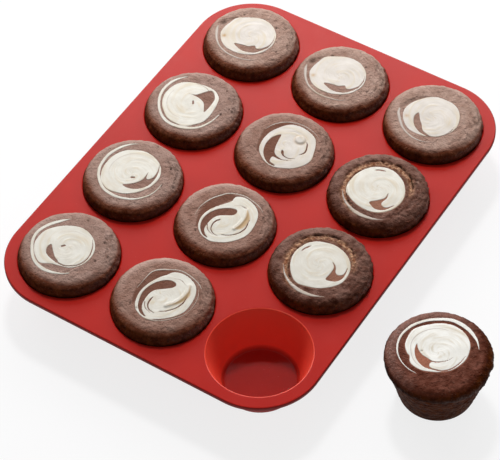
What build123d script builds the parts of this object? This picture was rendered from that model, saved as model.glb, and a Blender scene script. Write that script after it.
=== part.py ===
"""Twelve-cup silicone muffin tin with its twelve swirled muffins.

Eleven muffins sit in their cups and the twelfth, from cup a1, stands beside the tin.
Millimetres. The origin is the middle of the tin on the surface that it stands on:
+X runs along a row of four cups, +Y across the three rows (a, b, c), +Z is up.
"""

import os
from math import atan, cos, radians, sin

from build123d import *

# ---- silicone moulding: driving sizes ----
CUP_COLUMNS = 4  # along X, numbered 1 to 4
CUP_ROWS = "abc"  # along Y, front to back
CUP_OPENING = 71.0  # inside diameter at the deck
CUP_FLOOR = 50.8  # inside diameter at the floor
CUP_DEPTH = 31.3  # deck to inside of the floor
CUP_BRIDGE = 5.5  # deck between two neighbouring openings
CUP_WALL = 1.5
FLOOR_THICKNESS = 1.7
FLOOR_FILLET = 2.5  # where the inside wall meets the floor
LIP_RADIUS = 1.0  # rounding of each opening
LIP_LAND = 0.5  # flat ring of each cup outside its rounded lip
DECK_THICKNESS = 2.0
RIM_MARGIN = 9.0  # openings of the outer cups to the edge of the tin
RIM_HEIGHT = 3.2  # the thickened edge, from the deck's top down
RIM_WIDTH = 3.0
RIM_ROUNDING = 1.0

# ---- muffins: driving sizes ----
RELEASE_GAP = 0.3  # a baked muffin shrinks clear of its cup's side by this much
CAP_OVERHANG = 0.2  # cap beyond the waist that it rises from
CAP_HEIGHT = 10.0  # top of a muffin above the deck
CAP_LIP = 1.5  # height over which the cap spreads from the waist
SHOULDER_RADIUS = 7.0  # rounding round the top of the cap
LOOSE_SHRINKAGE = 0.6  # how much more the twelfth muffin's waist has shrunk
LOOSE_WAIST_RISE = 3.5  # its waist, above where the deck was
LOOSE_CAP_OVERHANG = 1.2
LOOSE_CAP_HEIGHT = 12.2
LOOSE_PLACE = (-60.5, -179.8)  # where it stands beside the tin

# ---- cream swirl let into the top of each muffin ----
SWIRL_DEPTH = 1.6
RIBBON_INSET = 2.6  # edge of the flat top to the outside of a ribbon
RIBBON_GAP = 2.2  # cake between a ribbon and the pool of cream
RIBBON_WIDTH = 2.4  # at the widest
STREAK_WIDTH = 4.6  # cake streak through the pool, at the widest

# ---- sizes that follow ----
CUP_PITCH = CUP_OPENING + CUP_BRIDGE
TIN_LENGTH = (CUP_COLUMNS - 1) * CUP_PITCH + CUP_OPENING + 2 * RIM_MARGIN
TIN_WIDTH = (len(CUP_ROWS) - 1) * CUP_PITCH + CUP_OPENING + 2 * RIM_MARGIN
CORNER_RADIUS = CUP_OPENING / 2 + RIM_MARGIN - LIP_LAND  # runs round the corner cup
DECK_TOP = FLOOR_THICKNESS + CUP_DEPTH
DECK_UNDERSIDE = DECK_TOP - DECK_THICKNESS
SEAM_RADIUS = CUP_OPENING / 2 + LIP_RADIUS + LIP_LAND  # deck and cup meet here
DRAFT_SLOPE = (CUP_OPENING - CUP_FLOOR) / 2 / CUP_DEPTH
DRAFT_COSINE = cos(atan(DRAFT_SLOPE))
SIDE_GAP = RELEASE_GAP / DRAFT_COSINE  # the release gap, measured level


def inside_radius(z):
    """Inside radius of a cup at height z above the surface it stands on."""
    return CUP_FLOOR / 2 + (z - FLOOR_THICKNESS) * DRAFT_SLOPE


def turned(outline):
    """Solid of revolution about Z from an outline in the XZ plane."""
    return revolve(outline, axis=Axis.Z, revolution_arc=360)


def corner(outline, x, z):
    """The outline's vertex nearest to (x, z)."""
    return outline.vertices().sort_by_distance((x, 0, z))[0]


# ---- the moulding ----
def make_cup():
    """One cup about Z: thin wall, floor, rounded lip and the collar that meets the deck."""
    wall = CUP_WALL / DRAFT_COSINE
    foot = inside_radius(0) + wall
    points = [
        (0, 0),
        (foot, 0),
        (inside_radius(DECK_UNDERSIDE) + wall, DECK_UNDERSIDE),
        (SEAM_RADIUS, DECK_UNDERSIDE),
        (SEAM_RADIUS, DECK_TOP),
        (CUP_OPENING / 2, DECK_TOP),
        (CUP_FLOOR / 2, FLOOR_THICKNESS),
        (0, FLOOR_THICKNESS),
    ]
    outline = make_face(Plane.XZ * Polyline(*points, close=True))
    outline = fillet(corner(outline, CUP_OPENING / 2, DECK_TOP), LIP_RADIUS)
    outline = fillet(corner(outline, CUP_FLOOR / 2, FLOOR_THICKNESS), FLOOR_FILLET)
    outline = fillet(corner(outline, foot, 0), FLOOR_FILLET + CUP_WALL)
    return turned(outline)


def make_deck(places):
    """Rounded plate with a thickened edge and a hole for the collar of each cup."""
    outside = RectangleRounded(TIN_LENGTH, TIN_WIDTH, CORNER_RADIUS)
    inside = offset(outside, -RIM_WIDTH)
    plate = Pos(0, 0, DECK_UNDERSIDE) * extrude(outside, DECK_THICKNESS)
    rim_bottom = DECK_TOP - RIM_HEIGHT
    rim = Pos(0, 0, rim_bottom) * extrude(outside - inside, RIM_HEIGHT)
    deck = plate + rim
    around = deck.faces().sort_by(Axis.Z)[-1].outer_wire().edges()
    deck = fillet(around, RIM_ROUNDING)
    hole = Pos(0, 0, rim_bottom) * Cylinder(
        SEAM_RADIUS, 2 * RIM_HEIGHT, align=(Align.CENTER, Align.CENTER, Align.MIN)
    )
    return deck - [Pos(x, y, 0) * hole for x, y in places.values()]


# ---- the muffins ----
class MuffinShape:
    """Radii and heights of a muffin's waist and cap, as it sits in its cup."""

    def __init__(self, loose):
        rise = LOOSE_WAIST_RISE if loose else 0
        overhang = LOOSE_CAP_OVERHANG if loose else CAP_OVERHANG
        shrinkage = LOOSE_SHRINKAGE if loose else 0
        self.waist = CUP_OPENING / 2 - SIDE_GAP - shrinkage
        self.waist_height = DECK_TOP + rise
        self.cap = self.waist + overhang
        self.top = DECK_TOP + (LOOSE_CAP_HEIGHT if loose else CAP_HEIGHT)
        self.flat = self.cap - SHOULDER_RADIUS


def make_cake(shape):
    """A muffin about Z: tapered body, waist, and the cap with its rounded shoulder."""
    foot = inside_radius(FLOOR_THICKNESS) - SIDE_GAP
    shoulder_base = shape.top - SHOULDER_RADIUS
    rounding = SHOULDER_RADIUS * sin(radians(45))
    side = Polyline(
        (shape.flat, shape.top),
        (0, shape.top),
        (0, FLOOR_THICKNESS),
        (foot, FLOOR_THICKNESS),
        (shape.waist, shape.waist_height),
        (shape.cap, shape.waist_height + CAP_LIP),
        (shape.cap, shoulder_base),
    )
    shoulder = ThreePointArc(
        (shape.cap, shoulder_base),
        (shape.flat + rounding, shoulder_base + rounding),
        (shape.flat, shape.top),
    )
    outline = make_face(Plane.XZ * (side + shoulder))
    outline = fillet(corner(outline, foot, FLOOR_THICKNESS), FLOOR_FILLET)
    return turned(outline)


def crescent(centre, radius, width, middle, half_span):
    """Flat crescent: an arc of that outer radius, widest at the angle middle,
    that thins to nothing half_span degrees either side of it."""
    shift = (2 * radius * width - width**2) / 2
    shift /= radius * (1 - cos(radians(half_span))) - width
    x, y = centre
    inner = Pos(x - shift * cos(radians(middle)), y - shift * sin(radians(middle)))
    return Pos(x, y) * Circle(radius) - inner * Circle(radius + shift - width)


def ringed_swirl(flat):
    """Round pool with one streak, and a long ribbon round it."""
    ribbon = flat - RIBBON_INSET
    pool = ribbon - RIBBON_WIDTH - RIBBON_GAP
    streak = crescent((0, -STREAK_WIDTH), pool * 0.6, STREAK_WIDTH, 180, 75)
    return [
        Circle(pool) - streak,
        crescent((0, 0), ribbon, RIBBON_WIDTH, 100, 130),
    ]


def dished_swirl(flat):
    """Large pool with a narrow streak, and a short thin ribbon on one side."""
    ribbon = flat - RIBBON_INSET
    pool = ribbon - RIBBON_WIDTH - RIBBON_GAP
    streak = crescent((0, 0), pool * 0.68, STREAK_WIDTH, 180, 62)
    return [
        Circle(pool) - streak,
        crescent((0, 0), ribbon, RIBBON_WIDTH, 180, 70),
    ]


def double_swirl(flat):
    """Comma of cream with a broad streak through it and a second streak behind."""
    pool = flat - RIBBON_INSET - RIBBON_GAP
    inner = crescent((0, -STREAK_WIDTH), pool * 0.75, STREAK_WIDTH * 1.4, 70, 88)
    outer = crescent((0, 0), pool, STREAK_WIDTH, 60, 60)
    return [Circle(pool) - inner - outer]


SWIRLS = {  # muffin: (kind of swirl, its turn in degrees)
    "a2": (dished_swirl, 75),
    "a3": (dished_swirl, 20),
    "a4": (dished_swirl, -45),
    "b1": (double_swirl, 0),
    "b2": (double_swirl, 10),
    "b3": (double_swirl, 25),
    "b4": (dished_swirl, 0),
    "c1": (ringed_swirl, 0),
    "c2": (ringed_swirl, 40),
    "c3": (ringed_swirl, 60),
    "c4": (dished_swirl, 5),
    "loose": (ringed_swirl, -15),
}


def make_muffin(name):
    """The cake, with a pocket in its top, and the swirl of cream that fills it."""
    shape = MuffinShape(loose=name == "loose")
    kind, turn = SWIRLS[name]
    bottom = Pos(0, 0, shape.top - SWIRL_DEPTH) * Rot(0, 0, turn)
    swirl = [bottom * extrude(face, SWIRL_DEPTH) for face in kind(shape.flat)]
    return make_cake(shape) - swirl, swirl


# ---- places and files ----
def cup_places():
    """Cup name to the (x, y) of its axis."""
    return {
        f"{row}{column + 1}": (
            (column - (CUP_COLUMNS - 1) / 2) * CUP_PITCH,
            (number - (len(CUP_ROWS) - 1) / 2) * CUP_PITCH,
        )
        for number, row in enumerate(CUP_ROWS)
        for column in range(CUP_COLUMNS)
    }


def save(name, place, shapes):
    """Writes the solids of one node, moved to their place."""
    solids = [Pos(*place) * solid for shape in shapes for solid in shape.solids()]
    export_step(Compound(children=solids), f"parts/{name}.step")


def main():
    os.makedirs("parts", exist_ok=True)
    places = cup_places()
    save("tray_deck", (0, 0, 0), [make_deck(places)])
    cup = make_cup()
    for name, (x, y) in places.items():
        save(f"cup_{name}", (x, y, 0), [cup])
    for name in SWIRLS:
        cake, swirl = make_muffin(name)
        place = (*LOOSE_PLACE, -FLOOR_THICKNESS) if name == "loose" else (*places[name], 0)
        save(f"muffin_{name}_cake", place, [cake])
        save(f"muffin_{name}_swirl", place, swirl)


main()
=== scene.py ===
from math import cos, pi, radians, sin, tan

import bmesh
import bpy
import numpy as np
from mathutils import Matrix, Vector


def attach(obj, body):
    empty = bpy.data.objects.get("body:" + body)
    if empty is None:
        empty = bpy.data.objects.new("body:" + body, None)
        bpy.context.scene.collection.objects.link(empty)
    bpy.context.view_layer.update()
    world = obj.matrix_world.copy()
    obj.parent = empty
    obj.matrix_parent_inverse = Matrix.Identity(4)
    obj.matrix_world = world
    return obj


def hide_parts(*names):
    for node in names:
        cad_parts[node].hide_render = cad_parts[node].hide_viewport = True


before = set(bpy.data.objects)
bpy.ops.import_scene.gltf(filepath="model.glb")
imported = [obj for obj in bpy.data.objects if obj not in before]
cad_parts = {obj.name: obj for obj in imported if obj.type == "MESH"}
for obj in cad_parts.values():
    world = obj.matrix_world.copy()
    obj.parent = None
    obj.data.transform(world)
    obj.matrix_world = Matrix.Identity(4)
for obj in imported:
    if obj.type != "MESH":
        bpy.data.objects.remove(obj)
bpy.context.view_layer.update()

MM = 0.001
WELD = 0.0005  # points this close together, in millimetres, become one
LEVEL = 0.01  # heights that differ by less than this are the same

# ---- the moulding, in millimetres ----
PITCH = 76.5  # from cup to cup
OPENING = 35.5  # inside radius of a cup at the deck
CUP_FLOOR = 25.4  # inside radius of a cup at its floor
DECK_TOP = 33.0
DECK_UNDERSIDE = 31.0
FLOOR = 1.7  # height of a cup's inside floor
WALL = 1.5
FLOOR_FILLET = 2.5
LIP = 1.0
LIP_LAND = 0.5  # flat ring of a cup outside its lip
LIP_FOOT = 31.9  # height at which a cup's wall turns over into its lip
NECK_ROUNDING = 0.5  # where the outside of a cup meets the deck's underside
COLLAR = 0.9  # flat ring round that rounding
TIN_HALF = (159.25, 121.0)
TIN_CORNER = 44.0
RIM_WIDTH = 3.0
RIM_ROUNDING = 1.0
RIM_BOTTOM = 29.8
SLOPE = (OPENING - CUP_FLOOR) / (DECK_TOP - FLOOR)
LEVEL_WALL = WALL * 1.05  # the wall measured level, across its slope
CUP_STEPS = 96
CORNER_STEPS = 96  # round all four corners together

# ---- the muffins ----
CAKE_STEPS = 192
CREAM_STEPS = 240
CREAM_REACH = 29.0  # radius that the cream's skin covers
CREAM_DEPTH = 2.2  # of the skin's flat underside, below the cake's top
CREAM_STEP = 0.35  # between its rings
CAKE_STEP = 0.45  # between the rings on the cake's top
SHOULDER = 7.0
CAP_LIP = 1.4  # height over which the cap spreads from the waist
FOOT_GAP = 0.32  # between the foot of a cake and the side of its cup
EVEN_SPREAD = 35.4  # spread of a cap that rose just as wide as it was turned
TORN_CRUMB = (0.55, 1.9)  # height and size of the crumb's lumps, where a ring is torn
PLAIN_CRUMB = (0.32, 2.4)  # and on the other cakes
SIZES = {  # radius of the waist and of the cap, height of the foot, of the waist over it, of the top
    "seated": (35.18, 35.38, FLOOR, 31.3, 43.0),
    "loose": (34.58, 35.78, 0.0, 34.8, 43.5),
}
EMPTY_CUP = "a1"
LOOSE_PLACE = (-60.5, -179.8)


def cup_place(name):
    """Centre of a cup, such as b3, on the tin's grid."""
    column = int(name[1]) - 1
    row = "abc".index(name[0])
    return ((column - 1.5) * PITCH, (row - 1) * PITCH)


def kind_of(name):
    """Which of the SIZES a muffin has."""
    return "loose" if name == "loose" else "seated"


def top_of(name):
    """Height of the flat that a muffin's top is shaped from."""
    return SIZES[kind_of(name)][-1]


CUPS = [row + column for row in "abc" for column in "1234"]
PLACES = {name: cup_place(name) for name in CUPS if name != EMPTY_CUP}
PLACES["loose"] = LOOSE_PLACE


# ---- shaping helpers ----
def rounded(points):
    """A profile line through (radius, height, rounding) points, with its corners rounded."""
    line = []
    for k, (x, z, rounding) in enumerate(points):
        here = Vector((x, z))
        if not rounding:
            line.append(here)
            continue
        before = (Vector(points[k - 1][:2]) - here).normalized()
        after = (Vector(points[k + 1][:2]) - here).normalized()
        half = before.angle(after) / 2
        centre = here + (before + after).normalized() * rounding / sin(half)
        start = here + before * rounding / tan(half) - centre
        sweep = start.angle_signed(here + after * rounding / tan(half) - centre)
        steps = max(4, round(rounding * 2))
        for step in range(steps + 1):
            line.append(centre + Matrix.Rotation(-sweep * step / steps, 2) @ start)
    return line


def divided(line, spacing):
    """The profile line with points added, so that they are about that spacing apart."""
    dense = [line[0]]
    for a, b in zip(line, line[1:]):
        runs = max(1, round((b - a).length / spacing))
        dense += [a.lerp(b, k / runs) for k in range(1, runs + 1)]
    return dense


def turn_profile(bm, line, steps):
    """Spins the profile line about Z."""
    verts = [bm.verts.new((point.x, 0, point.y)) for point in line]
    edges = [bm.edges.new(pair) for pair in zip(verts, verts[1:])]
    bmesh.ops.spin(
        bm, geom=verts + edges, cent=(0, 0, 0), axis=(0, 0, 1), dvec=(0, 0, 0),
        angle=2 * pi, steps=steps, use_merge=True, use_duplicate=False,
    )
    bmesh.ops.remove_doubles(bm, verts=bm.verts, dist=WELD)


def turned_shape(line, steps):
    bm = bmesh.new()
    turn_profile(bm, line, steps)
    return bm


def add_to_scene(name, data):
    made = bpy.data.objects.new(name, data)
    bpy.context.scene.collection.objects.link(made)
    return made


def make_piece(bm, name, material, sculpt, place=(0, 0)):
    """Turns a bmesh in millimetres into a smooth piece in its place."""
    bmesh.ops.recalc_face_normals(bm, faces=bm.faces)
    mesh = bpy.data.meshes.new(name)
    bm.to_mesh(mesh)
    bm.free()
    mesh.materials.append(material)
    sculpt(mesh)
    mesh.transform(Matrix.Scale(MM, 4) @ Matrix.Translation((*place, 0)))
    mesh.shade_smooth()
    return add_to_scene(name, mesh)


def points_of(mesh):
    """The mesh's points as an array of three columns."""
    points = np.empty(len(mesh.vertices) * 3)
    mesh.vertices.foreach_get("co", points)
    return points.reshape(-1, 3)


def set_points(mesh, points):
    mesh.vertices.foreach_set("co", points.ravel())
    mesh.update()


def paint(mesh, name, share):
    """Stores a share from 0 to 1 for each point of the mesh."""
    layer = mesh.attributes.new(name, "FLOAT", "POINT")
    layer.data.foreach_set("value", np.clip(share, 0, 1).astype(np.float32))


LATTICE_SIZE = 32
LATTICE = np.random.default_rng(12).uniform(-1, 1, (LATTICE_SIZE, LATTICE_SIZE, LATTICE_SIZE))


def lumps_at(x, y, z):
    """Smooth random numbers between -1 and 1, one lump to each unit of length."""
    corners = [np.floor(c).astype(int) for c in (x, y, z)]
    shares = [c - np.floor(c) for c in (x, y, z)]
    shares = [c * c * (3 - 2 * c) for c in shares]
    total = 0
    for near in np.ndindex(2, 2, 2):
        weight = 1
        for share, side in zip(shares, near):
            weight = weight * (share if side else 1 - share)
        at = tuple((c + side) % LATTICE_SIZE for c, side in zip(corners, near))
        total = total + weight * LATTICE[at]
    return total


def mottle(x, y, z, size, seed, octaves=2):
    """Uneven noise about 0, with lumps of about that size and finer ones on them."""
    total, height, shift = 0, 1.0, seed * 7.31
    for octave in range(octaves):
        fine = 2.03 ** octave / size  # not quite double, so that the octaves' lumps don't line up
        total = total + height * lumps_at(x * fine + shift, y * fine - shift, z * fine + 2 * shift)
        height *= 0.5
    return total


def bell(distance, width):
    """1 at no distance, falling smoothly to nothing beyond about twice the width."""
    return np.exp(-((distance / width) ** 2))


def ease(value, low, high):
    """0 below low, 1 above high, smooth between."""
    share = np.clip((value - low) / (high - low), 0, 1)
    return share * share * (3 - 2 * share)


# ---- material helpers ----
def srgb(red, green, blue):
    """A colour given in 0 to 255, as the shaders take it."""
    share = [c / 255 for c in (red, green, blue)]
    return (*(c / 12.92 if c <= 0.04045 else ((c + 0.055) / 1.055) ** 2.4 for c in share), 1)


class Nodes:
    """A tree of shader nodes, with short names for making and feeding them."""

    def __init__(self, tree):
        self.tree = tree

    def node(self, kind, **inputs):
        made = self.tree.nodes.new("ShaderNode" + kind)
        self.fill(made, **inputs)
        return made

    def fill(self, node, **inputs):
        """Feeds sockets of a node by name, with _ for each space in the name."""
        for key, value in inputs.items():
            self.feed(node.inputs[key.replace("_", " ")], value)

    def feed(self, socket, value):
        """Gives a socket a constant, or links what another node puts out."""
        if isinstance(value, bpy.types.NodeSocket):
            self.tree.links.new(value, socket)
        else:
            socket.default_value = value

    def ramp(self, value, low, high, start=0.0, end=1.0):
        """Start where the value is low or less, end where it is high or more, even between."""
        made = self.node("MapRange", Value=value, From_Min=low, From_Max=high)
        self.fill(made, To_Min=start, To_Max=end)
        return made.outputs["Result"]

    def math(self, operation, first, second):
        made = self.node("Math")
        made.operation = operation
        self.feed(made.inputs[0], first)
        self.feed(made.inputs[1], second)
        return made.outputs[0]

    def times(self, first, second):
        return self.math("MULTIPLY", first, second)


class Finish(Nodes):
    """A material with one Principled shader, and the patterns that its look is made of."""

    def __init__(self, name):
        self.material = bpy.data.materials.new(name)
        self.material.use_nodes = True
        super().__init__(self.material.node_tree)
        self.shader = self.tree.nodes["Principled BSDF"]
        self.place = self.tree.nodes.new("ShaderNodeTexCoord").outputs["Object"]

    def set(self, **inputs):
        self.fill(self.shader, **inputs)

    def grain(self, size, detail=2.0, roughness=0.5):
        """Noise with lumps of that many millimetres."""
        return self.node(
            "TexNoise", Vector=self.place, Scale=1000 / size, Detail=detail, Roughness=roughness
        ).outputs["Fac"]

    def painted(self, name):
        """A share that was stored on the mesh under that name."""
        made = self.node("Attribute")
        made.attribute_name = name
        return made.outputs["Fac"]

    def rising(self, low, high, start=0.0, end=1.0):
        """A ramp up the piece, between two heights in millimetres."""
        height = self.node("SeparateXYZ", Vector=self.place).outputs["Z"]
        return self.ramp(height, low * MM, high * MM, start, end)

    def mix(self, share, first, second):
        """One colour going over into another as the share goes from 0 to 1."""
        made = self.node("Mix")
        made.data_type = "RGBA"
        self.feed(made.inputs[0], share)
        self.feed(made.inputs[6], first)
        self.feed(made.inputs[7], second)
        return made.outputs[2]

    def between(self, share, first, second):
        """One number going over into another as the share goes from 0 to 1."""
        return self.node("Mix", A=first, B=second, Factor=share).outputs[0]

    def bump(self, height, depth, below=None):
        """Relief of that many millimetres, over an earlier one."""
        made = self.node("Bump", Height=height, Strength=1.0, Distance=depth * MM)
        if below:
            self.feed(made.inputs["Normal"], below)
        return made.outputs["Normal"]


# ---- materials ----
def silicone_finish():
    """Satin red silicone, glossy on the floors and lips of the cups, painted brighter inside the cups
    as a painted glow, with painted shade low in the cups and along the tin's outer edge, a painted
    highlight on the empty cup's lip, and dust.
    """
    f = Finish("red_silicone")
    inside = f.painted("inside")
    tone = f.ramp(f.grain(38, 3), 0.35, 0.65)
    # the inside of the cups is painted much brighter than the deck: a painted glow standing in for
    # light through the thin silicone
    wall = f.mix(tone, srgb(235, 74, 55), srgb(239, 78, 59))
    # painted shade low on the wall, where it meets the cup's floor
    wall = f.mix(f.rising(FLOOR, 5, 1, 0), wall, srgb(150, 25, 17))
    deck = f.mix(tone, srgb(174, 20, 7), srgb(181, 23, 9))
    colour = f.mix(inside, deck, wall)
    crest = f.times(f.rising(32.4, 32.8), f.rising(32.9, DECK_TOP, 1, 0))
    # painted highlight on the crest of the empty cup's lip
    lip_highlight = f.times(crest, f.painted("lip_highlight"))
    colour = f.mix(f.times(lip_highlight, 0.45), colour, srgb(240, 126, 110))
    # painted shade along the tin's rounded outer edge
    colour = f.mix(f.times(f.painted("edge"), 0.65), colour, srgb(70, 6, 6))
    dust = f.ramp(f.grain(1.1, 1), 0.74, 0.8, 0, 0.12)
    colour = f.mix(dust, colour, srgb(226, 150, 140))
    satin = f.ramp(f.grain(9, 3), 0.3, 0.7, 0.33, 0.39)
    rough = f.ramp(f.grain(6, 3), 0.3, 0.7, 0.05, 0.08)
    rough = f.between(f.rising(1.71, 1.85), rough, 1.0)
    rough = f.between(f.rising(4, 8), rough, 0.6)
    rough = f.between(f.rising(31, 32.2), rough, 0.2)
    rough = f.between(inside, 0.6, rough)
    rough = f.between(f.rising(32.85, DECK_TOP), rough, satin)
    relief = f.bump(f.grain(24, 1), 0.12)
    relief = f.bump(f.grain(0.5, 1), 0.008, relief)
    f.set(Base_Color=colour, Roughness=rough, Normal=relief, Specular_IOR_Level=0.3)
    return f.material


def cake_finish(name, crust, shoulder, side, smooth):
    """Baked chocolate cake: pale crust on top, browner shoulder, dark side, smooth streaks; with
    painted shade down the shoulder, on one side, in hollows, pits, pores and cracks, and painted
    highlights on the rear rim, crumb tops and glistening spots.
    """
    f = Finish(name)
    browned_and_shaded = f.painted("browned_and_shaded")
    streak = f.painted("streak")
    moist = f.painted("moist")
    tone = f.grain(5.5, 2, 0.45)
    coarse = f.grain(4.5, 4, 0.6)
    fine = f.grain(1.6, 2, 0.6)
    crumb = f.node("TexVoronoi", Vector=f.place, Scale=1000 / 1.9).outputs["Distance"]
    pits = f.ramp(crumb, 0.05, 0.34, 1, 0)
    colour = f.mix(f.ramp(tone, 0.3, 0.7), *crust)
    # painted highlight on the rear rim of the cap
    colour = f.mix(f.painted("rim"), colour, srgb(212, 182, 170))
    colour = f.mix(f.times(streak, 0.9), colour, smooth)
    browner = f.mix(f.ramp(tone, 0.35, 0.65), *shoulder)
    # shoulder and side colours, by a share that is partly real browning and partly painted shade
    colour = f.mix(f.ramp(browned_and_shaded, 0, 0.5), colour, browner)
    darkest = f.mix(f.ramp(coarse, 0.38, 0.66), *side)
    colour = f.mix(f.ramp(browned_and_shaded, 0.5, 1), colour, darkest)
    # painted highlight on the tops of the fine crumb and painted shade in its hollows, from the same
    # noise as its relief
    pale = f.ramp(fine, 0.6, 0.78, 0, 0.12)
    colour = f.mix(f.times(pale, f.ramp(streak, 0, 1, 1, 0.2)), colour, srgb(206, 170, 150))
    shade = f.ramp(fine, 0.28, 0.44, 0.07, 0)
    colour = f.mix(f.times(shade, f.ramp(streak, 0, 1, 1, 0.3)), colour, side[0])
    torn = f.mix(f.ramp(f.grain(2.2, 2), 0.4, 0.6), srgb(138, 88, 62), srgb(200, 156, 124))
    colour = f.mix(f.painted("crater"), colour, torn)
    body = f.mix(f.ramp(coarse, 0.35, 0.7), *side)
    colour = f.mix(f.rising(32.5, 36, 1, 0), colour, body)
    # painted shade in the crumb's pits
    colour = f.mix(f.times(pits, 0.06), colour, side[0])
    # painted shade in pores, dips, cracks, creases and under the loose cap
    colour = f.mix(f.painted("dark"), colour, srgb(26, 10, 6))
    # painted sheen: pale specks where the cake glistens
    painted_sheen = f.times(f.ramp(f.grain(1.3, 2), 0.5, 0.66, 0.2, 0.5), moist)
    colour = f.mix(painted_sheen, colour, srgb(180, 148, 138))
    rough_crumb = f.ramp(streak, 0, 1, 1, 0.25)
    relief = f.bump(coarse, 1.5)
    relief = f.bump(f.times(fine, rough_crumb), 0.85, relief)
    relief = f.bump(f.times(pits, rough_crumb), -0.3, relief)
    gloss = f.times(f.ramp(f.grain(1.9, 2), 0.55, 0.64), moist)
    f.set(Base_Color=colour, Roughness=0.62, Normal=relief)
    f.set(Specular_IOR_Level=0.05, Specular_Tint=srgb(150, 84, 50))
    f.set(Coat_Weight=gloss, Coat_Roughness=0.2, Coat_Normal=relief)
    return f.material


def cream_finish(name, light, shade):
    """Set cream with faint swirled veins, thin enough in places for the cake to show, with painted
    shade in folds and round dollops.
    """
    f = Finish(name)
    colour = f.mix(f.ramp(f.grain(7, 3), 0.35, 0.65), light, shade)
    colour = f.mix(f.ramp(f.painted("vein"), 0, 1, 0, 0.65), colour, srgb(208, 192, 164))
    # warm tint: a browned spot on some muffins, and painted shade in the hollow of a fold and round a
    # dollop
    colour = f.mix(f.painted("warm"), colour, srgb(190, 150, 96))
    colour = f.mix(f.painted("thick"), srgb(134, 98, 82), colour)
    relief = f.bump(f.grain(1.6, 3, 0.6), 0.06)
    f.set(Base_Color=colour, Roughness=0.42, Normal=relief)
    return f.material


# ---- the moulding ----
def make_rim(bm, section):
    """Carries a section of (inset, height) points round the rounded outline of the tin."""
    made = bmesh.ops.create_circle(bm, cap_ends=False, segments=CORNER_STEPS, radius=1.0)
    half_step = Matrix.Rotation(pi / CORNER_STEPS, 3, "Z")
    bmesh.ops.rotate(bm, verts=made["verts"], cent=(0, 0, 0), matrix=half_step)
    outward = {vert: vert.co.copy() for vert in made["verts"]}
    edges = list({edge for vert in outward for edge in vert.link_edges})
    for step, (inset, height) in enumerate(section):
        if step:
            ring = bmesh.ops.extrude_edge_only(bm, edges=edges)["geom"]
            edges = [item for item in ring if isinstance(item, bmesh.types.BMEdge)]
            verts = {vert for edge in edges for vert in edge.verts}
            nearest = {tuple(old.co): way for old, way in outward.items()}
            outward = {vert: nearest[tuple(vert.co)] for vert in verts}
        for vert, way in outward.items():
            vert.co = way * (TIN_CORNER - inset)
            vert.co.x += (TIN_HALF[0] - TIN_CORNER) * (1 if way.x > 0 else -1)
            vert.co.y += (TIN_HALF[1] - TIN_CORNER) * (1 if way.y > 0 else -1)
            vert.co.z = height


def open_edges(bm, height):
    """The edges at that height with a face on one side only."""
    return [
        edge for edge in bm.edges
        if edge.is_boundary and all(abs(vert.co.z - height) < LEVEL for vert in edge.verts)
    ]


def verts_in(geometry):
    return [item for item in geometry if isinstance(item, bmesh.types.BMVert)]


def paint_tin(mesh):
    """Stores where a cup's inside is, where the empty cup's lip gets a painted highlight, and the tin's
    outer edge, which gets painted shade.
    """
    x, y, z = points_of(mesh).T
    column = np.clip(np.round(x / PITCH - 0.5), -2, 1) + 0.5
    row = np.clip(np.round(y / PITCH), -1, 1)
    r = np.hypot(x - PITCH * column, y - PITCH * row)
    half_wall = WALL / 2 - 0.05  # takes in the inside of a cup and leaves out its outside
    wall = CUP_FLOOR + (z - FLOOR) * SLOPE
    hollow = (z > 1) & (z < LIP_FOOT) & (r < wall + half_wall)
    u, v = x - cup_place(EMPTY_CUP)[0], y - cup_place(EMPTY_CUP)[1]
    empty = np.hypot(u, v) < PITCH / 2
    lip = (z > LIP_FOOT) & (r < OPENING + half_wall)
    paint(mesh, "inside", hollow | lip & empty)
    # the empty cup's lip gets its painted highlight towards its front and its right
    angle = np.degrees(np.arctan2(v, u))
    front = np.clip(0.15 + 0.85 * np.cos(np.radians(angle - 235)), 0, 1)
    paint(mesh, "lip_highlight", lip * empty * np.clip(front + 0.6 * bell(angle, 22), 0, 1))
    # the tin's outer edge, where the silicone gets painted shade
    past_x = np.maximum(abs(x) - TIN_HALF[0] + TIN_CORNER, 0)
    past_y = np.maximum(abs(y) - TIN_HALF[1] + TIN_CORNER, 0)
    paint(mesh, "edge", ease(np.hypot(past_x, past_y), TIN_CORNER - 0.75, TIN_CORNER - 0.2))


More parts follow.
